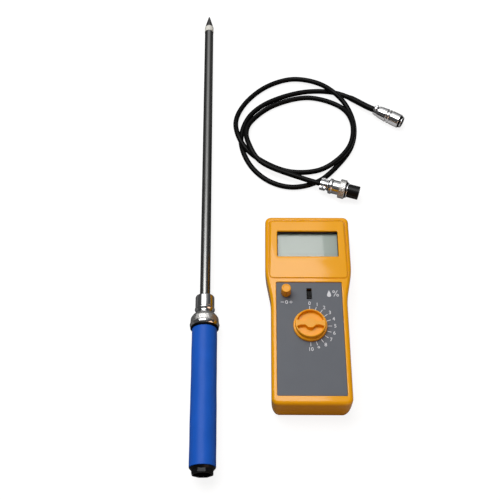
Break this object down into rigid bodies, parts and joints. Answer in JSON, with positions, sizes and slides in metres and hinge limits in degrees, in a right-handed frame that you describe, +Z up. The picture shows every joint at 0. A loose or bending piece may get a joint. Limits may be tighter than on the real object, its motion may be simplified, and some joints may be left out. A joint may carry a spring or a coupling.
{
  "type": "soil moisture meter",
  "caption": "Handheld soil moisture meter with range dial and display, a long stab probe with a sleeve grip, and a coiled lead with a metal plug on each end.",
  "frame": {"origin": "centre of the meter's flat back, on the surface that the meter, probe and lead lie on", "axes": "+Z up, out of the meter's face; +Y along the meter towards its display end and the probe's tip; +X to the right as the face is read"},
  "size_m": [0.1881, 0.461, 0.0346],
  "materials": {
    "case_orange": "satin moulded ABS",
    "panel_grey": "matte printed film",
    "clear_window": "clear polished",
    "lcd_face": "polarised film, semi-gloss",
    "black_plastic": "satin",
    "board_green": "solder mask",
    "trimmer_blue": "gloss",
    "battery_case": "printed foil",
    "steel": "satin drawn",
    "chrome": "polished plate",
    "grip_blue": "smooth satin",
    "white_plastic": "plain",
    "brass": "drawn",
    "cable_black": "satin PVC"
  },
  "bodies": {
    "meter": {"front_case": "case_orange", "rear_case": "case_orange", "front_panel": "panel_grey", "display_window": "clear_window", "lcd_glass": "lcd_face", "lcd_frame": "black_plastic", "power_switch_body": "black_plastic", "battery_snap": "black_plastic", "meter_socket_insert": "black_plastic", "circuit_board": "board_green", "zero_potentiometer": "trimmer_blue", "battery": "battery_case", "range_potentiometer": "steel", "case_screw_1": "steel", "case_screw_2": "steel", "case_screw_3": "steel", "case_screw_4": "steel", "meter_socket_shell": "chrome", "meter_socket_nut": "chrome"},
    "battery_door": {"battery_door": "case_orange"},
    "range_dial": {"range_dial": "case_orange"},
    "zero_knob": {"zero_knob": "case_orange"},
    "power_slider": {"power_slider": "black_plastic"},
    "probe": {"end_fitting": "black_plastic", "probe_socket_insert": "black_plastic", "handle_tube": "steel", "handle_grip": "grip_blue", "probe_board": "board_green", "grip_o_ring": "cable_black", "probe_collar": "chrome", "probe_rod": "steel", "centre_conductor": "brass", "tip_insulator": "white_plastic", "probe_tip": "steel"},
    "probe_nut": {"coupling_nut": "chrome"},
    "socket_plug_sleeve": {"socket_plug_sleeve": "chrome"},
    "ring_plug_ring": {"ring_plug_ring": "chrome"},
    "lead": {"socket_plug_insert": "black_plastic", "ring_plug_insert": "black_plastic", "socket_plug_screw_1": "steel", "socket_plug_screw_2": "steel", "ring_plug_screw_1": "steel", "ring_plug_screw_2": "steel", "socket_plug_shell": "chrome", "socket_plug_nose": "chrome", "socket_plug_clamp": "chrome", "ring_plug_shell": "chrome", "ring_plug_clamp": "chrome", "lead_cable": "cable_black", "lead_sleeve": "cable_black", "socket_plug_seal": "cable_black", "ring_plug_seal": "cable_black"}
  },
  "joints": [
    {"name": "dial_turn", "type": "hinge", "parent": "meter", "child": "range_dial", "pos_m": [0, -0.018, 0.029], "axis": [0, 0, 1], "range_deg": [-90, 90]},
    {"name": "zero_turn", "type": "hinge", "parent": "meter", "child": "zero_knob", "pos_m": [-0.018, 0.01, 0.03], "axis": [0, 0, 1], "range_deg": [-140, 140]},
    {"name": "power_slide", "type": "slide", "parent": "meter", "child": "power_slider", "axis": [0, 1, 0], "range_m": [0, 0.0034]},
    {"name": "door_slide", "type": "slide", "parent": "meter", "child": "battery_door", "axis": [0, -1, 0], "range_m": [0, 0.034]},
    {"name": "probe_lift", "type": "slide", "parent": "meter", "child": "probe", "axis": [0, 0, 1], "range_m": [0, 0.06]},
    {"name": "nut_turn", "type": "hinge", "parent": "probe", "child": "probe_nut", "pos_m": [-0.08129, -0.00757, 0.0117], "axis": [-0.0249, 0.9994, -0.0225], "continuous": true},
    {"name": "lead_lift", "type": "slide", "parent": "meter", "child": "lead", "axis": [0, 0, 1], "range_m": [0, 0.06]},
    {"name": "socket_sleeve_turn", "type": "hinge", "parent": "lead", "child": "socket_plug_sleeve", "pos_m": [0.08417, 0.19975, 0.0064], "axis": [0.8434, -0.5373, 0], "continuous": true},
    {"name": "plug_ring_turn", "type": "hinge", "parent": "lead", "child": "ring_plug_ring", "pos_m": [0.0322, 0.11995, 0.0084], "axis": [0.9548, -0.2974, 0], "continuous": true}
  ]
}
